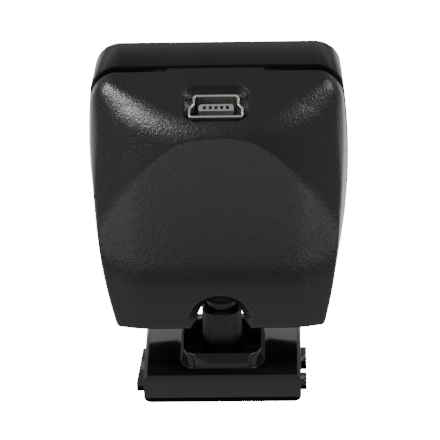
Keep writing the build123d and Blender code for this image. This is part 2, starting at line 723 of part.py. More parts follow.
def stalk():
    """Post with a flange inside the boss, a neck and the pin that the ball turns on."""
    under = FOOT_HEIGHT + BOSS_HEIGHT - FOOT_WALL
    top = HEAD_BOTTOM - STALK_BELOW_HEAD
    neck_top = BALL_Z - math.sqrt(BALL_RADIUS ** 2 - NECK_RADIUS ** 2) - SLIDING_GAP
    body = extrude(Plane.XY.offset(under) * stalk_section(STALK_WIDTH, STALK_CORNER), amount=top - under)
    body = chamfer(body.edges().filter_by(lambda e: e.bounding_box().min.Z > top - 0.01), 0.4)
    flange = Plane.XY.offset(under - STALK_FLANGE_THICK) * Rectangle(STALK_FLANGE, STALK_FLANGE)
    body += extrude(flange, amount=STALK_FLANGE_THICK)
    body += along_z(NECK_RADIUS, top, neck_top)
    body += along_z(PIN_RADIUS, neck_top, neck_top + PIN_LENGTH)
    return body - along_z(SCREW_RADIUS, under - 3, under + 3)


def ball():
    """Ball with a flat against the neck and a blind bore for the pin."""
    flat = BALL_Z - math.sqrt(BALL_RADIUS ** 2 - NECK_RADIUS ** 2)
    body = Pos(0, 0, BALL_Z) * Sphere(BALL_RADIUS)
    body -= box(-FAR, FAR, -FAR, FAR, flat - FAR, flat)
    return body - along_z(PIN_RADIUS + SLIDING_GAP / 2, flat - 1, flat + PIN_LENGTH + 0.2)


def socket_liner():
    """Spherical ring between ball and cup, open below and slotted towards the back."""
    outer = BALL_RADIUS + SLIDING_GAP + LINER_WALL
    body = Pos(0, 0, BALL_Z) * Sphere(outer) - Pos(0, 0, BALL_Z) * Sphere(BALL_RADIUS + SLIDING_GAP)
    body &= box(-FAR, FAR, -FAR, FAR, BALL_Z - LINER_DOWN, BALL_Z + LINER_UP)
    return body - box(-SLOT_WIDTH / 2 + 0.3, SLOT_WIDTH / 2 - 0.3, -FAR, 0, -FAR, BALL_Z - 0.6)


def socket_half(z0, z1):
    """The block and ears around the ball between two heights, with the liner's pocket cut out."""
    pocket = BALL_RADIUS + LINER_WALL + 2 * SLIDING_GAP
    block = box(-CUP_HALF_WIDTH, CUP_HALF_WIDTH, -CUP_BACK, CUP_FRONT, z0, z1)
    return block, Pos(0, 0, BALL_Z) * Sphere(pocket)


def ears(z0, z1):
    """The two ears that the screws go through."""
    return box(-EAR_REACH, EAR_REACH, -EAR_DEPTH / 2, EAR_DEPTH / 2, z0, z1)


def ear_holes(radius):
    """The two screw holes through the ears."""
    return [along_z(radius, 0, FAR, x, y) for x, y in ear_places()]


def socket_cup():
    """Upper half of the socket."""
    block, pocket = socket_half(BALL_Z, BALL_Z + CUP_UP)
    body = block + ears(BALL_Z, BALL_Z + EAR_THICK) - pocket
    body -= box(-SLOT_WIDTH / 2, SLOT_WIDTH / 2, -FAR, -4.0, 0, FAR)
    for hole in ear_holes(SCREW_RADIUS + FIT):
        body -= hole
    return body


def socket_clamp():
    """Lower half of the socket, open towards the back for the stalk."""
    top = BALL_Z - CLAMP_SPLIT
    block, pocket = socket_half(BALL_Z - CLAMP_DOWN, top)
    body = block + ears(top - EAR_THICK, top) - pocket
    body -= box(-SLOT_WIDTH / 2, SLOT_WIDTH / 2, -FAR, 0, 0, FAR)
    for hole in ear_holes(SCREW_RADIUS + FIT):
        body -= hole
    return body


def socket_screws():
    """Two screws down through both halves into the rear housing."""
    length = EAR_THICK * 2 + CLAMP_SPLIT + SCREW_GRIP - 0.2
    return group(screw_z(x, y, BALL_Z + EAR_THICK, length, -1) for x, y in ear_places())


def foot_shell():
    """Foot with its drafted boss, bevelled top edge and side lugs, hollow underneath."""
    half_w, half_d = FOOT_WIDTH / 2, FOOT_DEPTH / 2
    body = box(-half_w, half_w, -half_d, half_d, 0, FOOT_HEIGHT)
    body = fillet(body.edges().filter_by(Axis.Y).group_by(Axis.Z)[0], FOOT_LOWER_ROUND)
    body = chamfer(body.faces().sort_by(Axis.Z)[-1].edges(), FOOT_BEVEL)
    base = Plane.XY.offset(FOOT_HEIGHT) * RectangleRounded(BOSS_WIDTH, BOSS_DEPTH, BOSS_CORNER)
    body += extrude(base, amount=BOSS_HEIGHT, taper=BOSS_DRAFT)
    body += foot_lugs()
    room_w, room_d = half_w - FOOT_WALL, half_d - FOOT_WALL
    body -= box(-room_w, room_w, -room_d, room_d, -1, FOOT_HEIGHT - FOOT_WALL)
    half = STALK_FLANGE / 2 + FIT
    body -= box(-half, half, -half, half, 0, FOOT_HEIGHT + BOSS_HEIGHT - FOOT_WALL)
    hole = stalk_section(STALK_WIDTH + 2 * FIT, STALK_CORNER + FIT)
    return body - extrude(Plane.XY * hole, amount=FAR)


def foot_lugs():
    """Locking lugs: one long tapered lug on the left, two short ones on the right."""
    half = FOOT_WIDTH / 2
    root, tip = half - 0.5, half + LUG_REACH
    plan = make_face(Polyline((-root, LUG_NEAR), (-tip - LUG_TAPER, LUG_NEAR), (-tip + LUG_TAPER, LUG_FAR),
                              (-root, LUG_FAR), close=True))
    lugs = extrude(Plane.XY.offset(LUG_LOW) * plan, amount=LUG_HIGH - LUG_LOW)
    for y0, y1 in ((LUG_NEAR, LUG_SPLIT[0]), (LUG_SPLIT[1], LUG_FAR)):
        lugs += box(root, tip, y0, y1, LUG_LOW, LUG_HIGH)
    return lugs


def foot_plate():
    """Plate that closes the foot, with a pillar up to the stalk's flange."""
    half_w = FOOT_WIDTH / 2 - FOOT_WALL - PLATE_GAP
    half_d = FOOT_DEPTH / 2 - FOOT_WALL - PLATE_GAP
    flange = FOOT_HEIGHT + BOSS_HEIGHT - FOOT_WALL - STALK_FLANGE_THICK
    plate = box(-half_w, half_w, -half_d, half_d, 0.1, PLATE_THICK)
    plate += box(-PILLAR_HALF, PILLAR_HALF, -PILLAR_HALF, PILLAR_HALF, PLATE_THICK, flange)
    for x in plate_post_places():
        plate += along_z(BOSS_RADIUS, PLATE_THICK, FOOT_HEIGHT - FOOT_WALL, x, 0)
    plate -= along_z(SCREW_RADIUS + FIT, -1, FAR)
    return plate - along_z(SCREW_HEAD + FIT, -1, PLATE_THICK + 0.2)


def plate_post_places():
    """The two rest posts under the foot's roof."""
    x = FOOT_WIDTH / 2 - FOOT_WALL - BOSS_RADIUS - 0.7
    return [-x, x]


# ---- write every sub-part
def block(size, y0, y1, x=0.0, z=0.0):
    """A block of a width and a height, centred at a place in the XZ plane."""
    wide, tall = size
    return box(x - wide / 2, x + wide / 2, y0, y1, z - tall / 2, z + tall / 2)


def save_optics():
    """What lies between the front wall and the image sensor."""
    front, _, rear = barrel_places()
    sensor, glass_filter = (2 * SENSOR_HALF, 2 * SENSOR_HALF), (2 * FILTER_HALF, 2 * FILTER_HALF)
    filter_y = BOARD_FRONT + HOLDER_BASE - 0.8
    save("lens_ring", lens_ring())
    save("lens_window", lens_window())
    save("lens_seal", lens_seal())
    save("lens_barrel", lens_barrel())
    save("front_lens", glass(FRONT_GLASS - SLIDING_GAP, front - FRONT_GLASS_SEAT, 0.9, 0.9))
    save("rear_lens", glass(REAR_GLASS - SLIDING_GAP, rear + 0.3, 0.8, 0.4))
    save("lens_holder", lens_holder())
    save("ir_filter", block(glass_filter, filter_y - FILTER_THICK, filter_y, 0, LENS_Z))
    save("image_sensor", block(sensor, BOARD_FRONT, BOARD_FRONT + SENSOR_THICK, 0, LENS_Z))


def save_main_board():
    """The main board, its chips on both faces and the card reader on its back."""
    chip_back = BOARD_BACK - CHIP_THICK
    pad_back = chip_back - PAD_THICK
    chip_z = LENS_Z + CHIP_UP
    save("main_board", main_board())
    save("board_screws", group(screw_y(x, z, BOARD_FRONT, BOARD_THICK + SCREW_GRIP - 0.2, -1)
                               for x, z in board_screw_places()))
    save("processor", block((CHIP_SIZE, CHIP_SIZE), chip_back, BOARD_BACK, CHIP_X, chip_z))
    save("thermal_pad", block((CHIP_SIZE - 0.8, CHIP_SIZE - 0.8), pad_back, chip_back, CHIP_X, chip_z))
    save("heat_spreader", block(SPREADER_SIZE, pad_back - SPREADER_THICK, pad_back,
                                CHIP_X, LENS_Z + SPREADER_UP))
    save("memory_chip", block(MEMORY_SIZE, BOARD_FRONT, BOARD_FRONT + MEMORY_THICK,
                              MEMORY_X, LENS_Z + MEMORY_UP))
    save("power_coil", along_y(COIL_RADIUS, BOARD_BACK - COIL_THICK, BOARD_BACK, COIL_X, LENS_Z + COIL_UP))
    save("card_socket", card_socket())
    save("memory_card", memory_card())


def save_controls():
    """The board behind the front wall, with the button, its switch, the light and the microphone."""
    z = HEAD_TOP - BUTTON_BELOW_TOP
    face = INNER_FRONT - FRONT_BOARD_BACK + FRONT_BOARD_THICK
    bore_floor = face + 0.3
    plunger_low = bore_floor + BUTTON_TRAVEL + 0.1
    flange = INNER_FRONT - SLIDING_GAP
    save("button_board", front_board())
    save("button_board_screws", group(screw_y(x, z, face - FRONT_BOARD_THICK,
                                              FRONT_BOARD_THICK + SCREW_GRIP - 0.2, 1)
                                      for x in front_post_places()))
    switch = block((SWITCH_SIZE, SWITCH_SIZE), face, face + SWITCH_THICK, 0, z)
    save("button_switch", switch - along_y(PLUNGER_RADIUS + SLIDING_GAP, bore_floor, FAR, 0, z))
    save("switch_plunger", along_y(PLUNGER_RADIUS, plunger_low, flange - BUTTON_FLANGE, 0, z))
    cap = along_y(BUTTON_RADIUS, flange, FRONT_Y + BUTTON_PROUD, 0, z)
    cap = fillet(cap.edges().filter_by(lambda e: e.bounding_box().min.Y > FRONT_Y), BUTTON_EDGE)
    save("record_button", cap + along_y(BUTTON_RADIUS + 0.7, flange - BUTTON_FLANGE, flange, 0, z))
    save("status_led", block(LED_SIZE, face, face + LED_THICK, PIPE_X, z))
    save("status_light_pipe", along_y(PIPE_RADIUS, face + LED_THICK + 0.2, FRONT_Y, PIPE_X, z))
    save("microphone", block(MIC_SIZE, face, face + MIC_THICK, MIC_X, z))
    save("flex_cable", flex_cable())


def save_sound_and_cell():
    """The speaker and the backup cell, both on the inside of the front wall."""
    speaker_z, cell_z = HEAD_BOTTOM + SPEAKER_UP, HEAD_BOTTOM + CELL_UP
    tape_y = INNER_FRONT - TAPE_THICK
    wide, deep, tall = CELL_SIZE
    save("speaker", along_y(SPEAKER_RADIUS, INNER_FRONT - SPEAKER_THICK, INNER_FRONT, SPEAKER_X, speaker_z))
    cell = block((wide, tall), tape_y - deep, tape_y, CELL_X, cell_z)
    save("backup_cell", fillet(cell.edges().filter_by(Axis.X), CELL_ROUND))
    save("cell_tape", block(TAPE_SIZE, tape_y, INNER_FRONT, CELL_X, cell_z))


def save_mount():
    """The ball joint, the stalk and the foot."""
    save("ball", ball())
    save("socket_liner", socket_liner())
    save("socket_cup", socket_cup())
    save("socket_clamp", socket_clamp())
    save("socket_screws", socket_screws())
    save("stalk", stalk())
    save("stalk_screw", screw_z(0, 0, PLATE_THICK + 0.2, STALK_SCREW_LENGTH, 1))
    save("foot_shell", foot_shell())
    save("foot_plate", foot_plate())


save("rear_housing", rear_housing())
save("front_cover", front_cover())
save("usb_shell", usb_shell())
save("usb_tongue", usb_tongue())
save("usb_contacts", usb_contacts())
save("port_board", port_board())
save("board_connector", board_connector())
save_optics()
save_main_board()
save_controls()
save_sound_and_cell()
save_mount()
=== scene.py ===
import json
import math

import bpy
import numpy as np
from mathutils import Matrix, Vector

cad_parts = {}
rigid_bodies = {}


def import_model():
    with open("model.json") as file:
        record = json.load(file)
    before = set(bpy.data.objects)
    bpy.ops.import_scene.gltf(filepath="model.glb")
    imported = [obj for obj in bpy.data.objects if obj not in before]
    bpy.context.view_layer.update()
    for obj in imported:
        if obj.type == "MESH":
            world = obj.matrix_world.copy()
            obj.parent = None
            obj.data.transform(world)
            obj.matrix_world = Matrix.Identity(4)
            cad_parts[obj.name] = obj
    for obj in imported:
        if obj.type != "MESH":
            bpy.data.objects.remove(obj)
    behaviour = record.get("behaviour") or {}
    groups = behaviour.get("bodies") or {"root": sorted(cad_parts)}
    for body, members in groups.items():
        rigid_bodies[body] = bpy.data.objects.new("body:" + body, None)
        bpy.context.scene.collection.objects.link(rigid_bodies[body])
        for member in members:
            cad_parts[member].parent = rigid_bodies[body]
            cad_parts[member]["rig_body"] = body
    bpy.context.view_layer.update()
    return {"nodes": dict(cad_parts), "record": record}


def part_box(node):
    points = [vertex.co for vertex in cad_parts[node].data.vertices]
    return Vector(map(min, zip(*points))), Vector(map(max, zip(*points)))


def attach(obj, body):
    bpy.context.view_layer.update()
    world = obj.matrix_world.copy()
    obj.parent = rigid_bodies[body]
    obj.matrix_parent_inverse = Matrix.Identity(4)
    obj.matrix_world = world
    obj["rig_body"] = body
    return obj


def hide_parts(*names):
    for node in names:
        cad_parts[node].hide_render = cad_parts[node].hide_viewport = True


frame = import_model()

NODES = frame["nodes"]
MM = 0.001

# ---- the view from behind and above
VIEW_TURN = 1.95
VIEW_RISE = 32.3
VIEW_ROLL = -1.66
VIEW_DISTANCE = 0.385
VIEW_LENS = 219.7
VIEW_AIM = Vector((0.0001, 0.0, 0.02652))

# ---- the head's outside, in millimetres, as the rear housing has it
SEAM_Y = 6.1
HEAD_TOP = 48.5
HEAD_BOTTOM = 12.5
SHELF_SLOPE = math.radians(22)
SHELF_LENGTH = 12.1
BROW_Y = SEAM_Y - SHELF_LENGTH * math.cos(SHELF_SLOPE)
BROW_Z = HEAD_TOP - SHELF_LENGTH * math.sin(SHELF_SLOPE) - 0.25
CREASE_Y, CREASE_Z = -8.4, 22.3
CHIN_Y = -7.45
CROWN_SLOPE = math.radians(60)
CROWN_HALF, CROWN_RISE = 24.0, 41.0
PANEL_HALF = 11.7
PANEL_FACET = math.radians(8)
CHIN_FACET = math.radians(13.8)
SIDE_DRAFT = math.radians(6)
SIDE_POINTS = ((17.5, 48.5), (18.6, 33.02), (16.3, 12.5))
SHELF_ROUND = 7.0
CREASE_ROUND = 28.0
SKIN_DOWN = 0.04
SKIN_AROUND = 440
SKIN_BACK_RINGS = 168
SKIN_FRONT_RINGS = 10
SKIN_FRONT = SEAM_Y + 2.0


# ======== shader building
class Wire:
    """One output of a shader node.  An arithmetic sign between wires or numbers adds a Math node."""

    def __init__(self, finish, socket):
        self.finish = finish
        self.socket = socket

    def sign(self, operation, first, second):
        return self.finish.add("ShaderNodeMath", {"operation": operation}, {0: first, 1: second})

    def __add__(self, other):
        return self.sign("ADD", self, other)

    def __sub__(self, other):
        return self.sign("SUBTRACT", self, other)

    def __mul__(self, other):
        return self.sign("MULTIPLY", self, other)

    def __truediv__(self, other):
        return self.sign("DIVIDE", self, other)

    def __pow__(self, other):
        return self.sign("POWER", self, other)

    def __radd__(self, other):
        return self.sign("ADD", other, self)

    def __rsub__(self, other):
        return self.sign("SUBTRACT", other, self)

    def __rmul__(self, other):
        return self.sign("MULTIPLY", other, self)


class Finish:
    """A material in the making: one principled shader and whatever feeds it."""

    def __init__(self, name, constants):
        self.material = bpy.data.materials.new(name)
        self.material.use_nodes = True
        self.tree = self.material.node_tree
        self.shader = self.tree.nodes["Principled BSDF"]
        for socket, value in constants.items():
            self.shader.inputs[socket].default_value = value

    def add(self, kind, settings, inputs, output=0):
        """A node of a kind: its settings first, then a value or a link for each socket."""
        node = self.tree.nodes.new(kind)
        for key, value in settings.items():
            if key == "stops":
                self.set_stops(node.color_ramp, value)
            else:
                setattr(node, key, value)
        for key, value in inputs.items():
            self.plug(node.inputs[key], value)
        return Wire(self, node.outputs[output])

    def plug(self, socket, value):
        """A wire is linked; a number or a colour is set on the socket."""
        if isinstance(value, Wire):
            self.tree.links.new(value.socket, socket)
        else:
            socket.default_value = value

    def set_stops(self, ramp, stops):
        """A ramp's two stops, each a place and a grey."""
        for element, (place, grey) in zip(ramp.elements, stops):
            element.position = place
            element.color = (grey, grey, grey, 1.0)

    def place(self, stretch=(1.0, 1.0, 1.0)):
        """Where a point is on the piece, in metres, stretched along the axes."""
        point = self.add("ShaderNodeTexCoord", {}, {}, "Object")
        return self.add("ShaderNodeMapping", {}, {"Vector": point, "Scale": stretch})

    def noise(self, point, size, detail=2.0, rough=0.5):
        """Clouds from 0 to 1 whose lumps are about a size in metres."""
        return self.add("ShaderNodeTexNoise", {}, {"Vector": point, "Scale": 1.0 / size, "Detail": detail,
                                                   "Roughness": rough})

    def cells(self, point, size):
        """Distance to the nearest of scattered points about a size apart: round pits when used as height."""
        return self.add("ShaderNodeTexVoronoi", {}, {"Vector": point, "Scale": 1.0 / size})

    def step(self, value, low, high):
        """0 below low, 1 above high, and an even rise between."""
        return self.add("ShaderNodeMapRange", {"clamp": True}, {"Value": value, "From Min": low, "From Max": high})

    def blend(self, mask, first, second):
        """A colour between two, by a mask."""
        return self.add("ShaderNodeMix", {"data_type": "RGBA"}, {"Factor": mask, 6: first, 7: second}, 2)

    def feed(self, socket, value):
        """What drives one of the shader's own sockets."""
        self.plug(self.shader.inputs[socket], value)
        return self

    def bump(self, height, depth, strength=1.0):
        """Relief: a height from 0 to 1 that stands for a depth in metres."""
        normal = self.add("ShaderNodeBump", {}, {"Height": height, "Distance": depth, "Strength": strength})
        return self.feed("Normal", normal)


def grey(level, warm=0.0):
    """A near-neutral colour."""
    return (level * (1 + warm), level, level * (1 - warm), 1.0)


def dusty_edges(finish, base, worn, amount):
    """The base colour, paler where the surface turns sharply outwards, as edges that hands rub."""
    sharp = finish.add("ShaderNodeNewGeometry", {}, {}, "Pointiness")
    mask = finish.step(sharp, 0.52, 0.62) * amount
    return finish.blend(mask, base, worn)


# ======== finishes
def spark_eroded_black():
    """Rear housing: black moulding with the pitted grain of a spark-eroded tool."""
    f = Finish("spark_eroded_black", {"Specular IOR Level": 0.42, "IOR": 1.5})
    point = f.place()
    pits = f.cells(point, 0.00040)
    fine = f.noise(point, 0.00023, 2.0, 0.5)
    coarse = f.noise(point, 0.0006, 2.0, 0.5)
    clouds = f.noise(point, 0.009, 3.0, 0.5)
    grain = pits * 0.4 + fine * 0.8 + coarse * 0.4
    f.feed("Base Color", f.blend(clouds, grey(0.0030), grey(0.0050)))
    f.feed("Roughness", 0.27 + f.step(grain, 0.5, 1.1) * 0.08 + clouds * 0.03)
    return f.bump(grain, 0.000052, 1.0).material


def satin_black():
    """Front cover: a finer, flatter texture than the housing's."""
    f = Finish("satin_black_moulding", {"Specular IOR Level": 0.12, "IOR": 1.42})
    point = f.place()
    fine = f.noise(point, 0.00014, 3.0, 0.6)
    clouds = f.noise(point, 0.011, 3.0, 0.5)
    tint = f.blend(clouds, grey(0.0040), grey(0.0060))
    f.feed("Base Color", dusty_edges(f, tint, grey(0.012), 0.5))
    f.feed("Roughness", 0.22 + fine * 0.06 + clouds * 0.04)
    return f.bump(fine, 0.000008, 0.7).material


def gloss_black():
    """Foot, lens ring and button: polished tool face with faint flow clouds and hair scratches."""
    f = Finish("gloss_black_moulding", {"Specular IOR Level": 0.4, "IOR": 1.52})
    point = f.place()
    clouds = f.noise(point, 0.006, 4.0, 0.55)
    hairs = f.noise(f.place((14.0, 1.0, 1.0)), 0.0016, 6.0, 0.7)
    scratch = f.step(hairs, 0.62, 0.72)
    f.feed("Base Color", dusty_edges(f, f.blend(clouds, grey(0.003), grey(0.005)), grey(0.015), 0.6))
    f.feed("Roughness", 0.05 + clouds * 0.08 + scratch * 0.10)
    return f.bump(clouds * 0.8 + scratch * 0.1, 0.00002, 0.25).material


def stalk_black():
    """Stalk: darker, waxy moulding between gloss and grain."""
    f = Finish("stalk_black_moulding", {"Specular IOR Level": 0.42, "IOR": 1.5})
    point = f.place()
    fine = f.noise(point, 0.0002, 3.0, 0.6)
    clouds = f.noise(point, 0.004, 3.0, 0.5)
    f.feed("Base Color", dusty_edges(f, f.blend(clouds, grey(0.0025), grey(0.0045)), grey(0.010), 0.5))
    f.feed("Roughness", 0.34 + clouds * 0.10 + fine * 0.05)
    return f.bump(fine, 0.000006, 0.6).material


def rolled_metal(name, colour, rough, stretch=(1.0, 1.0, 12.0), tarnish=0.25):
    """Metal with drawn streaks along one way and faint blotches."""
    f = Finish(name, {"Metallic": 1.0})
    streak = f.noise(f.place(stretch), 0.0012, 5.0, 0.65)
    blotch = f.noise(f.place(), 0.0022, 3.0, 0.5)
    dull = tuple(c * (1 - tarnish) for c in colour[:3]) + (1.0,)
    f.feed("Base Color", f.blend(blotch, dull, colour))
    f.feed("Roughness", rough + streak * 0.14)
    return f.bump(streak, 0.000005, 0.5).material


def coated_glass(name, tint, rough, alpha, coat=0.0):
    """Glass that shows its coating: a clear sheet with a faint tint and dust."""
    f = Finish(name, {"IOR": 1.52, "Coat Weight": coat, "Alpha": alpha})
    point = f.place()
    dust = f.step(f.noise(point, 0.0003, 4.0, 0.7), 0.66, 0.78)
    clouds = f.noise(point, 0.004, 2.0, 0.5)
    deep = tuple(c * 0.55 for c in tint[:3]) + (1.0,)
    f.feed("Base Color", f.blend(clouds, deep, tint))
    f.feed("Roughness", rough + dust * 0.15)
    return f.material


def circuit_green():
    """Solder resist over copper tracks: raised tracks and small pads on a fine square net."""
    f = Finish("solder_resist_green", {"IOR": 1.5, "Coat Weight": 0.3})
    point = f.place()
    along = f.add("ShaderNodeTexWave", {"wave_type": "BANDS", "bands_direction": "X"},
                  {"Vector": point, "Scale": 260.0, "Distortion": 6.0, "Detail": 1.0, "Detail Scale": 0.6})
    up = f.add("ShaderNodeTexWave", {"wave_type": "BANDS", "bands_direction": "Z"},
               {"Vector": point, "Scale": 230.0, "Distortion": 7.0, "Detail": 1.0, "Detail Scale": 0.5})
    tracks = f.step(along, 0.62, 0.72)
    pads = f.step(up * along, 0.72, 0.80)
    green = f.blend(tracks, (0.008, 0.055, 0.022, 1.0), (0.016, 0.10, 0.038, 1.0))
    f.feed("Base Color", f.blend(pads, green, (0.55, 0.53, 0.48, 1.0)))
    f.feed("Metallic", pads)
    f.feed("Roughness", 0.32 + pads * 0.1)
    return f.bump(tracks * 0.5 + pads * 0.5, 0.00003, 0.6).material


def moulding(name, colour, rough, grain, depth, mottle=0.25):
    """Plain moulded or cast stuff: a grain size, its depth and clouds in its colour."""
    f = Finish(name, {"IOR": 1.5})
    point = f.place()
    fine = f.noise(point, grain, 4.0, 0.6)
    clouds = f.noise(point, 0.004, 3.0, 0.5)
    dark = tuple(c * (1 - mottle) for c in colour[:3]) + (1.0,)
    f.feed("Base Color", f.blend(clouds, dark, colour))
    f.feed("Roughness", rough + fine * 0.12)
    return f.bump(fine, depth, 0.6).material


FINISHES = {
    "grained_black": spark_eroded_black(),
    "satin_black": satin_black(),
    "gloss_black": gloss_black(),
    "socket_steel": rolled_metal("tinned_steel", (0.78, 0.77, 0.74, 1.0), 0.18, (1.0, 1.0, 3.0)),
    "screw_steel": rolled_metal("zinc_plated_steel", (0.55, 0.55, 0.57, 1.0), 0.24),
    "contact_gold": rolled_metal("contact_gold", (0.83, 0.62, 0.27, 1.0), 0.18, tarnish=0.15),
    "board_green": circuit_green(),
    "chip_black": moulding("epoxy_black", (0.016, 0.016, 0.018, 1.0), 0.48, 0.00012, 0.000008),
    "insert_grey": moulding("glass_filled_grey", (0.16, 0.16, 0.155, 1.0), 0.50, 0.00020, 0.000010),
    "lens_glass": coated_glass("coated_lens_glass", (0.03, 0.035, 0.10, 1.0), 0.02, 0.75, 1.0),
    "window_glass": coated_glass("hard_window", (0.02, 0.022, 0.026, 1.0), 0.03, 0.22),
    "filter_glass": coated_glass("filter_glass", (0.30, 0.60, 0.62, 1.0), 0.04, 0.55),
    "barrel_black": rolled_metal("anodised_black", (0.035, 0.035, 0.037, 1.0), 0.34),
    "seal_rubber": moulding("seal_rubber", (0.014, 0.014, 0.014, 1.0), 0.78, 0.00015, 0.000012),
    "spreader_aluminium": rolled_metal("spreader_aluminium", (0.80, 0.80, 0.82, 1.0), 0.28),
    "pad_grey": moulding("gap_pad", (0.20, 0.27, 0.36, 1.0), 0.82, 0.00030, 0.000020),
    "flex_amber": moulding("polyimide_film", (0.36, 0.13, 0.02, 1.0), 0.24, 0.00060, 0.000006),
    "cell_silver": rolled_metal("foil_pouch", (0.62, 0.63, 0.66, 1.0), 0.30, (1.0, 1.0, 1.0)),
    "light_pipe": coated_glass("clear_light_pipe", (0.72, 0.80, 0.74, 1.0), 0.12, 0.85),
    "ball_black": moulding("polished_acetal", (0.003, 0.003, 0.0032, 1.0), 0.42, 0.00050, 0.000004),
    "liner_grey": moulding("liner_grey", (0.006, 0.006, 0.006, 1.0), 0.42, 0.00020, 0.000008),
    "stalk_black": stalk_black(),
}


# ======== making meshes
def piece_from(name, points, faces):
    """A mesh object at the origin from points in millimetres and lists of corner numbers."""
    mesh = bpy.data.meshes.new(name)
    mesh.from_pydata((np.asarray(points) * MM).tolist(), [], faces)
    mesh.validate()
    made = bpy.data.objects.new(name, mesh)
    bpy.context.scene.collection.objects.link(made)
    return made


def smooth(piece, angle=30.0):
    """Smooth shading that stays sharp where faces meet at more than an angle."""
    piece.data.polygons.foreach_set("use_smooth", np.ones(len(piece.data.polygons), bool))
    piece.data.set_sharp_from_angle(angle=math.radians(angle))


def dress(piece, slot, finish=None):
    """The finish of a slot on a piece, and nothing else in its material list."""
    piece.data.materials.clear()
    piece.data.materials.append(FINISHES[finish or slot])


def settle(piece):
    """The piece's modifiers made part of its mesh."""
    done = bpy.data.meshes.new_from_object(piece.evaluated_get(bpy.context.evaluated_depsgraph_get()))
    piece.modifiers.clear()
    piece.data = done


def merged_copy(node, name):
    """A CAD node's mesh as a new object, with the corners that its loose triangles share made one."""
    made = bpy.data.objects.new(name, NODES[node].data.copy())
    bpy.context.scene.collection.objects.link(made)
    weld = made.modifiers.new("weld", "WELD")
    weld.merge_threshold = 0.000002
    settle(made)
    return made


def eased_copy(node, name, width, finish=None, angle=30.0):
    """A CAD node with its sharp edges eased by a small round of a width in millimetres."""
    made = merged_copy(node, name)
    ease = made.modifiers.new("ease", "BEVEL")
    ease.width = width * MM
    ease.segments = 3
    ease.limit_method = "ANGLE"
    ease.angle_limit = math.radians(angle)
    ease.use_clamp_overlap = True
    ease.harden_normals = False
    settle(made)
    smooth(made, 40.0)
    stand_in(made, node, finish)
    return made


def stand_in(made, node, finish=None):
    """The piece takes a node's place, its body and its slot's finish."""
    slot = next(s["material_slot"] for s in frame["record"]["subparts"] if s["node"] == node)
    dress(made, slot, finish)
    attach(made, NODES[node]["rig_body"])
    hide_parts(node)


# ======== the head's rounded outside
def rounded_most(first, second, radius, turn=0.0):
    """The greater of two distances, with the corner between their surfaces rounded to a radius.  turn is
    the cosine of the angle between the surfaces' normals.  Both distances are measured again from the
    line a radius further in; between the two normals the distance to that line takes over."""
    a, b = first + radius, second + radius
    line = np.sqrt(np.maximum(a * a + b * b - 2 * a * b * turn, 0) / (1 - turn * turn))
    between = (a > turn * b) & (b > turn * a) & (a > 0) & (b > 0)
    return np.where(between, line - radius, np.maximum(first, second))


def side_circle():
    """Centre and radius of the circle through the three points of the head's bowed side."""
    (ax, az), (bx, bz), (cx, cz) = SIDE_POINTS
    rows = np.array([[bx - ax, bz - az], [cx - ax, cz - az]]) * 2
    sums = np.array([bx * bx - ax * ax + bz * bz - az * az, cx * cx - ax * ax + cz * cz - az * az])
    middle = np.linalg.solve(rows, sums)
    return middle, math.hypot(ax - middle[0], az - middle[1])


SIDE_MIDDLE, SIDE_RADIUS = side_circle()


def head_distance(x, y, z):
    """How far a point is outside the rounded head, in millimetres, negative inside.  The head is what five
    surfaces share: the bowed sides with the flat top, the sloping shelf, the arched crown, the back
    panel with its turned-away facets, and the chin.  Each pair that meets is blended with its own radius."""
    across = np.abs(x)
    drawn = (SEAM_Y - y) * math.tan(SIDE_DRAFT)
    side = np.hypot(across - SIDE_MIDDLE[0], z - SIDE_MIDDLE[1]) - SIDE_RADIUS + np.maximum(drawn, 0)
    top = z - HEAD_TOP + np.maximum(drawn, 0)
    ring = rounded_most(side, top, 4.2)
    shelf = (z - HEAD_TOP) * math.cos(SHELF_SLOPE) + (SEAM_Y - y) * math.sin(SHELF_SLOPE)
    arch = np.sqrt(np.maximum(1 - (across / CROWN_HALF) ** 2, 0.02))
    rate = CROWN_RISE / CROWN_HALF ** 2 * across / arch
    fall = math.tan(CROWN_SLOPE)
    crown = z - BROW_Z + CROWN_RISE * (1 - arch) - (y - BROW_Y) * fall
    crown = crown / np.sqrt(1 + fall ** 2 + rate ** 2)
    turn = (np.hypot(across - PANEL_HALF, 1.1) + across - PANEL_HALF) / 2
    lean = (BROW_Y - CREASE_Y) / (BROW_Z - CREASE_Z)
    panel = (CREASE_Y + lean * (z - CREASE_Z) + turn * math.tan(PANEL_FACET) - y) / math.hypot(1, lean)
    tuck = (CHIN_Y - CREASE_Y) / (CREASE_Z - HEAD_BOTTOM)
    chin = (CHIN_Y - tuck * (z - HEAD_BOTTOM) + turn * math.tan(CHIN_FACET) - y) / math.hypot(1, tuck)
    bottom = HEAD_BOTTOM - z
    meet = (fall * math.sin(SHELF_SLOPE) + math.cos(SHELF_SLOPE)) / np.sqrt(1 + fall ** 2 + rate ** 2)
    deep = np.clip((SEAM_Y - y) / 6.0, 0, 1)
    brow = rounded_most(shelf, crown, 0.1 + SHELF_ROUND * deep, meet)
    back = rounded_most(panel, chin, CREASE_ROUND, 0.98)
    outward = np.clip((across - 5.0) / 9.0, 0, 1) ** 2
    rear = rounded_most(brow, back, 0.3 + 4.5 * outward, 0.86)
    high = np.clip((z - 34.0) / 8.0, 0, 1)
    whole = rounded_most(rear, ring, 0.05 + deep * (0.35 + 0.8 * high))
    whole = rounded_most(whole, bottom, 0.05 + 0.45 * deep)
    return np.maximum(whole, y - SKIN_FRONT)


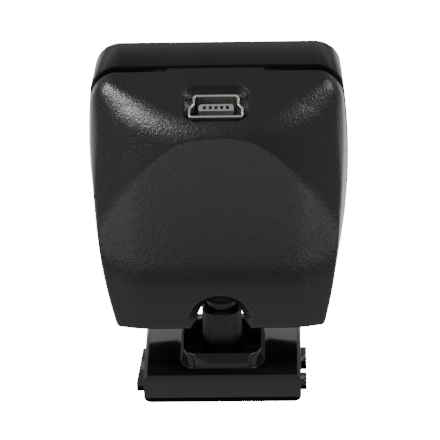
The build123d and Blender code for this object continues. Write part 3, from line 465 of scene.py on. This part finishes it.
def head_form():
    """The closed, rounded head.  Rays fan out from a point on the seam's plane: one angle runs round the
    head, the other from straight ahead to straight back, and on each ray the place where the distance
    passes nought is found by halving the span 44 times."""
    round_angle = np.linspace(0, 2 * math.pi, SKIN_AROUND, endpoint=False)
    ahead = np.linspace(-math.pi / 2, 0, SKIN_FRONT_RINGS + 1)[1:-1]
    behind = np.linspace(0, math.pi / 2, SKIN_BACK_RINGS + 1)[:-1]
    tilt = np.concatenate([ahead, behind])
    tilt_grid, round_grid = np.meshgrid(tilt, round_angle, indexing="ij")
    flat = np.cos(tilt_grid).ravel()
    rays = np.stack([flat * np.cos(round_grid.ravel()), -np.sin(tilt_grid.ravel()),
                     flat * np.sin(round_grid.ravel())], 1)
    rays = np.vstack([rays, [[0, 1, 0], [0, -1, 0]]])
    start = np.array([0.0, SEAM_Y - 1.0, 31.0])
    near = np.zeros(len(rays))
    far = np.full(len(rays), 60.0)
    for _ in range(44):
        middle = (near + far) / 2
        point = start + rays * middle[:, None]
        inside = head_distance(point[:, 0], point[:, 1], point[:, 2]) < -SKIN_DOWN
        near = np.where(inside, middle, near)
        far = np.where(inside, far, middle)
    points = start + rays * near[:, None]
    rings = len(tilt)
    ring, step = np.meshgrid(np.arange(rings - 1), np.arange(SKIN_AROUND), indexing="ij")
    after = (step + 1) % SKIN_AROUND
    quads = np.stack([ring * SKIN_AROUND + step, ring * SKIN_AROUND + after,
                      (ring + 1) * SKIN_AROUND + after, (ring + 1) * SKIN_AROUND + step], -1).reshape(-1, 4)
    step = np.arange(SKIN_AROUND)
    after = (step + 1) % SKIN_AROUND
    front_pole, back_pole = len(points) - 2, len(points) - 1
    last = (rings - 1) * SKIN_AROUND
    fans = np.vstack([np.stack([after, step, np.full_like(step, front_pole)], 1),
                      np.stack([last + step, last + after, np.full_like(step, back_pole)], 1)])
    return piece_from("head_form", points, quads.tolist() + fans.tolist())


def rear_shell():
    """The rear housing with its outside rounded: what the housing and the rounded form share."""
    form = head_form()
    shell = merged_copy("rear_housing", "rear_shell")
    cut = shell.modifiers.new("round_off", "BOOLEAN")
    cut.operation = "INTERSECT"
    cut.solver = "EXACT"
    cut.object = form
    settle(shell)
    bpy.data.objects.remove(form)
    smooth(shell, 28.0)
    stand_in(shell, "rear_housing")
    return shell


# ======== turned parts
def turned(name, profile, place, around=96):
    """A closed outline of radius and height carried once round an axis along Y through a place."""
    angle = np.linspace(0, 2 * math.pi, around, endpoint=False)
    outline = np.asarray(profile)
    radius, height = outline[:, 0], outline[:, 1]
    points = np.stack([place[0] + np.outer(np.cos(angle), radius), place[1] + np.tile(height, (around, 1)),
                       place[2] + np.outer(np.sin(angle), radius)], -1).reshape(-1, 3)
    count = len(outline)
    turn, step = np.meshgrid(np.arange(around), np.arange(count), indexing="ij")
    next_turn, next_step = (turn + 1) % around, (step + 1) % count
    quads = np.stack([turn * count + step, turn * count + next_step, next_turn * count + next_step,
                      next_turn * count + step], -1).reshape(-1, 4)
    made = piece_from(name, points, quads.tolist())
    smooth(made, 35.0)
    return made


def lens_trim():
    """The ring round the window: a rounded rim, a fine groove, and three steps down to the window."""
    low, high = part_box("lens_ring")
    centre = (low + high) / 2 / MM
    rim, seat, face = (high.x - low.x) / 2 / MM, low.y / MM, high.y / MM
    spigot = face - 1.0
    rounding = [(rim - 0.4 + 0.4 * math.sin(a), face - 0.4 + 0.4 * math.cos(a))
                for a in np.linspace(math.pi / 2, 0, 7)]
    groove = [(rim - 1.1, face), (rim - 1.2, face - 0.15), (rim - 1.35, face - 0.15), (rim - 1.45, face)]
    steps = [(7.2, face), (7.1, face - 0.1), (7.0, face - 0.35), (6.88, face - 0.35), (6.84, face - 0.6),
             (6.72, face - 0.6), (6.6, face - 0.85), (6.6, seat)]
    profile = [(rim, spigot)] + rounding + groove + steps + [(7.85, seat), (7.85, spigot)]
    made = turned("lens_trim", profile[::-1], (centre.x, 0.0, centre.z))
    stand_in(made, "lens_ring")


# ======== the set
def set_camera():
    """The camera, turned and rolled about what it looks at."""
    turn, rise, roll = (math.radians(a) for a in (VIEW_TURN, VIEW_RISE, VIEW_ROLL))
    away = Vector((math.sin(turn) * math.cos(rise), -math.cos(turn) * math.cos(rise), math.sin(rise)))
    right = Vector((math.cos(turn), math.sin(turn), 0))
    up = away.cross(right)
    level = right * math.cos(roll) + up * math.sin(roll)
    data = bpy.data.cameras.new("camera")
    data.lens = VIEW_LENS
    data.clip_start = 0.01
    camera = bpy.data.objects.new("camera", data)
    bpy.context.scene.collection.objects.link(camera)
    place = VIEW_AIM + away * VIEW_DISTANCE
    camera.matrix_world = Matrix.Translation(place) @ Matrix((level, away.cross(level), away)).transposed().to_4x4()
    bpy.context.scene.camera = camera


def add_light(name, place, aim, size, power, size_y=None):
    """A rectangular soft light that faces a point."""
    data = bpy.data.lights.new(name, "AREA")
    data.shape = "RECTANGLE"
    data.size = size
    data.size_y = size_y or size
    data.energy = power
    light = bpy.data.objects.new(name, data)
    bpy.context.scene.collection.objects.link(light)
    light.visible_camera = False
    light.location = place
    light.rotation_euler = (Vector(aim) - Vector(place)).to_track_quat("-Z", "Y").to_euler()


def set_lights():
    """A key at the upper left, a weaker one at the right and a grey room."""
    middle = (0, 0, 0.03)
    add_light("key", (-0.42, -0.10, 0.55), middle, 0.14, 5.6, 0.30)
    add_light("fill", (0.50, -0.02, 0.48), middle, 0.08, 2.2, 0.30)
    world = bpy.data.worlds.new("room")
    world.use_nodes = True
    world.node_tree.nodes["Background"].inputs["Color"].default_value = (0.44, 0.44, 0.44, 1.0)
    bpy.context.scene.world = world


def lay_floor():
    """A pale floor, lit a little from within like a light table.  The cards stand in for it in reflections."""
    half = 3000.0
    floor = piece_from("floor", [(-half, -half, 0), (half, -half, 0), (half, half, 0), (-half, half, 0)],
                       [(0, 1, 2, 3)])
    f = Finish("pale_floor", {"Roughness": 0.9, "Specular IOR Level": 0.1, "Emission Color": (1, 1, 1, 1),
                              "Emission Strength": 16.0})
    f.feed("Base Color", f.blend(f.noise(f.place(), 0.2), grey(0.80), grey(0.84)))
    floor.data.materials.append(f.material)
    floor.visible_glossy = False
    floor.visible_diffuse = False


def add_card(name, x_span, y_span, z_span, glow):
    """A card that only reflections show, lying flat or standing: its spans in millimetres and its glow."""
    (x0, x1), (y0, y1), (z0, z1) = x_span, y_span, z_span
    card = piece_from(name, [(x0, y0, z0), (x1, y0, z0), (x1, y1, z1), (x0, y1, z1)], [(0, 1, 2, 3)])
    f = Finish(name, {"Base Color": grey(0.0), "Specular IOR Level": 0.0, "Emission Color": (1, 1, 1, 1),
                      "Emission Strength": glow})
    card.data.materials.append(f.material)
    card.visible_camera = card.visible_diffuse = card.visible_shadow = False
    card.visible_transmission = False


def set_cards():
    """Bright and dark cards round the camera: what the black mouldings reflect."""
    wide = 400.0
    # The flag card is black and is seen only in reflections: it paints the dark shade band along the crease between
    # the back panel and the chin.
    for name, y_span, glow in (("card_near", (-36, -8.5), 0.85), ("card_flag_shade", (-66, -36), 0.0),
                               ("card_back", (22, wide), 1.6)):
        add_card(name, (-wide, wide), y_span, (0.1, 0.1), glow)
    add_card("card_far", (-26, 26), (-wide, -66), (0.1, 0.1), 0.85)
    # A black card on the floor under the head, seen only in reflections: painted shadow that stands for the shade
    # on the floor beneath the head.
    add_card("card_under_shadow", (-20, 20), (-8.5, 22), (0.1, 0.1), 0.0)
    for side in (-1, 1):
        add_card("card_far_side", sorted((side * 26, side * wide)), (-wide, -66), (0.1, 0.1), 2.8)
        add_card("card_side", sorted((side * 20, side * wide)), (-8.5, 22), (0.1, 0.1), 1.0)
    add_card("card_behind", (-150, 150), (150, 150), (78, 106), 1.6)


# ======== putting it together
set_camera()
set_lights()
lay_floor()
set_cards()

for subpart in frame["record"]["subparts"]:
    dress(NODES[subpart["node"]], subpart["material_slot"])

rear_shell()
eased_copy("front_cover", "cover_shell", 0.14)
eased_copy("foot_shell", "foot_body", 0.14)
eased_copy("stalk", "stalk_post", 0.22, "stalk_black")
eased_copy("usb_shell", "port_shell", 0.05)
lens_trim()
eased_copy("record_button", "shutter_button", 0.08)
